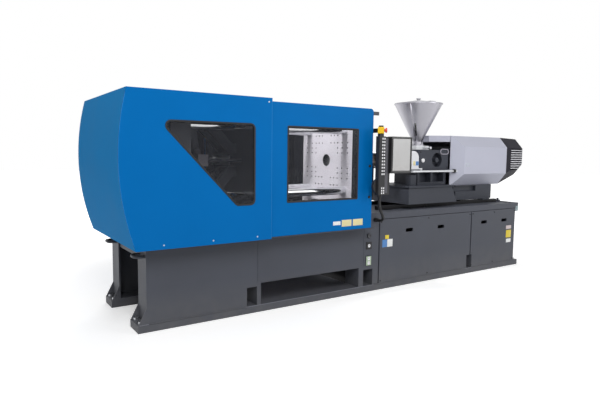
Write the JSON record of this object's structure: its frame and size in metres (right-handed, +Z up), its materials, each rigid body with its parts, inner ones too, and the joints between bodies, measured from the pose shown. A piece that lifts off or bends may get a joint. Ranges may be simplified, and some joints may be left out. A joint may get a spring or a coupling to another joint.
{
  "type": "injection moulding machine",
  "caption": "Horizontal electric injection moulding machine with toggle clamp, sliding window gates, screw injection unit, hopper and operator console on a welded bed.",
  "frame": {"origin": "on the floor at the centre of the four anchor holes in the floor runners", "axes": "+X along the machine from the clamp end to the injection end, -Y to the operator, +Z up"},
  "size_m": [4.7579, 1.3019, 1.822],
  "materials": {
    "bed_paint": "satin",
    "cover_paint": "satin",
    "machined_steel": "machined",
    "ground_steel": "ground",
    "casting_paint": "satin",
    "clear_pane": "clear",
    "silver_paint": "satin",
    "dark_cover": "satin",
    "stainless": "brushed",
    "white_paint": "gloss",
    "black_plastic": "matt",
    "screen_glass": "gloss",
    "yellow_plastic": "gloss",
    "red_plastic": "gloss",
    "cable_rubber": "matt",
    "barrel_steel": "heated"
  },
  "bodies": {
    "machine": {"floor_runners": "bed_paint", "levelling_screws": "machined_steel", "leg_boxes": "bed_paint", "side_beams": "bed_paint", "clamp_deck": "bed_paint", "drop_chute": "stainless", "cross_members": "bed_paint", "service_columns": "bed_paint", "service_outlets": "black_plastic", "unit_deck": "bed_paint", "unit_frames": "bed_paint", "end_plate": "bed_paint", "front_panels": "bed_paint", "rear_panels": "bed_paint", "drive_cabinet": "casting_paint", "fixed_platen": "machined_steel", "tie_bars": "ground_steel", "front_cover": "cover_paint", "cover_sheets": "cover_paint", "end_cover": "cover_paint", "clamp_window": "clear_pane", "gate_rails": "casting_paint", "unit_rails": "ground_steel", "console_post": "black_plastic", "cable": "cable_rubber"},
    "front_gate": {"front_gate": "cover_paint", "front_gate_window": "clear_pane", "gate_handle": "black_plastic"},
    "rear_gate": {"rear_gate": "cover_paint", "rear_gate_window": "clear_pane"},
    "rear_platen": {"rear_platen": "casting_paint", "clamp_motor": "black_plastic", "height_nuts": "machined_steel"},
    "moving_platen": {"moving_platen": "machined_steel"},
    "ejector": {"ejector": "machined_steel"},
    "crosshead": {"crosshead": "casting_paint"},
    "clamp_screw": {"clamp_screw": "ground_steel"},
    "upper_rear_link": {"upper_rear_link": "casting_paint"},
    "lower_rear_link": {"lower_rear_link": "casting_paint"},
    "upper_front_link": {"upper_front_link": "casting_paint"},
    "lower_front_link": {"lower_front_link": "casting_paint"},
    "upper_drive_link": {"upper_drive_link": "casting_paint"},
    "lower_drive_link": {"lower_drive_link": "casting_paint"},
    "carriage": {"unit_base": "casting_paint", "feed_housing": "casting_paint", "barrel": "barrel_steel", "guard_rails": "machined_steel", "drive_frame": "casting_paint", "drive_cover": "silver_paint", "drive_tail": "dark_cover"},
    "barrel_guard": {"barrel_guard": "white_paint"},
    "injection_plate": {"injection_plate": "casting_paint"},
    "screw": {"screw": "machined_steel"},
    "hopper": {"hopper_slide": "machined_steel", "hopper": "stainless"},
    "hopper_lid": {"hopper_lid": "stainless"},
    "console": {"console_housing": "black_plastic", "display": "screen_glass", "stop_box": "yellow_plastic"},
    "stop_button": {"stop_button": "red_plastic"}
  },
  "joints": [
    {"name": "front_gate_slide", "type": "slide", "parent": "machine", "child": "front_gate", "axis": [-1, 0, 0], "range_m": [0, 0.84]},
    {"name": "rear_gate_slide", "type": "slide", "parent": "machine", "child": "rear_gate", "axis": [-1, 0, 0], "range_m": [0, 0.84]},
    {"name": "mould_height_slide", "type": "slide", "parent": "machine", "child": "rear_platen", "axis": [1, 0, 0], "range_m": [0, 0.3]},
    {"name": "moving_platen_slide", "type": "slide", "parent": "rear_platen", "child": "moving_platen", "axis": [1, 0, 0], "range_m": [0, 0.35]},
    {"name": "ejector_slide", "type": "slide", "parent": "moving_platen", "child": "ejector", "axis": [1, 0, 0], "range_m": [0, 0.08]},
    {"name": "crosshead_slide", "type": "slide", "parent": "rear_platen", "child": "crosshead", "axis": [1, 0, 0], "range_m": [0, 0.2896]},
    {"name": "clamp_screw_turn", "type": "hinge", "parent": "rear_platen", "child": "clamp_screw", "pos_m": [-1.678, 0, 1.17], "axis": [1, 0, 0], "range_deg": [0, 2083.5]},
    {"name": "upper_rear_link_hinge", "type": "hinge", "parent": "rear_platen", "child": "upper_rear_link", "pos_m": [-1.678, 0, 1.262], "axis": [0, 1, 0], "range_deg": [0, 72.99]},
    {"name": "lower_rear_link_hinge", "type": "hinge", "parent": "rear_platen", "child": "lower_rear_link", "pos_m": [-1.678, 0, 1.078], "axis": [0, -1, 0], "range_deg": [0, 72.99]},
    {"name": "upper_front_link_hinge", "type": "hinge", "parent": "moving_platen", "child": "upper_front_link", "pos_m": [-1.293, 0, 1.262], "axis": [0, -1, 0], "range_deg": [0, 45.84]},
    {"name": "lower_front_link_hinge", "type": "hinge", "parent": "moving_platen", "child": "lower_front_link", "pos_m": [-1.293, 0, 1.078], "axis": [0, 1, 0], "range_deg": [0, 45.84]},
    {"name": "upper_drive_link_hinge", "type": "hinge", "parent": "crosshead", "child": "upper_drive_link", "pos_m": [-1.558, 0, 1.23], "axis": [0, -1, 0], "range_deg": [0, 82.87]},
    {"name": "lower_drive_link_hinge", "type": "hinge", "parent": "crosshead", "child": "lower_drive_link", "pos_m": [-1.558, 0, 1.11], "axis": [0, 1, 0], "range_deg": [0, 82.87]},
    {"name": "carriage_slide", "type": "slide", "parent": "machine", "child": "carriage", "axis": [-1, 0, 0], "range_m": [0, 0.3]},
    {"name": "barrel_guard_hinge", "type": "hinge", "parent": "carriage", "child": "barrel_guard", "pos_m": [0.5, 0.205, 1.094], "axis": [-1, 0, 0], "range_deg": [0, 95]},
    {"name": "injection_slide", "type": "slide", "parent": "carriage", "child": "injection_plate", "axis": [1, 0, 0], "range_m": [0, 0.15]},
    {"name": "screw_turn", "type": "hinge", "parent": "injection_plate", "child": "screw", "pos_m": [1.3, 0, 1.17], "axis": [1, 0, 0], "continuous": true},
    {"name": "hopper_shift", "type": "slide", "parent": "carriage", "child": "hopper", "axis": [0, -1, 0], "range_m": [0, 0.12]},
    {"name": "hopper_lid_hinge", "type": "hinge", "parent": "hopper", "child": "hopper_lid", "pos_m": [0.947, 0.2565, 1.761], "axis": [-1, 0, 0], "range_deg": [0, 100]},
    {"name": "console_swivel", "type": "hinge", "parent": "machine", "child": "console", "pos_m": [-0.15, -0.612, 1.1], "axis": [0, 0, 1], "range_deg": [-20, 70]},
    {"name": "stop_button_push", "type": "slide", "parent": "console", "child": "stop_button", "axis": [-0.7071, 0.7071, 0], "range_m": [0, 0.006]}
  ],
  "couplings": [
    {"joint": "crosshead_slide", "follows": "moving_platen_slide", "ratio": 0.82599},
    {"joint": "clamp_screw_turn", "follows": "moving_platen_slide", "rad_per_m": 103.8},
    {"joint": "upper_rear_link_hinge", "follows": "moving_platen_slide", "rad_per_m": 3.6386},
    {"joint": "lower_rear_link_hinge", "follows": "moving_platen_slide", "rad_per_m": 3.6386},
    {"joint": "upper_front_link_hinge", "follows": "moving_platen_slide", "rad_per_m": 2.2847},
    {"joint": "lower_front_link_hinge", "follows": "moving_platen_slide", "rad_per_m": 2.2847},
    {"joint": "upper_drive_link_hinge", "follows": "moving_platen_slide", "rad_per_m": 4.1316},
    {"joint": "lower_drive_link_hinge", "follows": "moving_platen_slide", "rad_per_m": 4.1316}
  ]
}
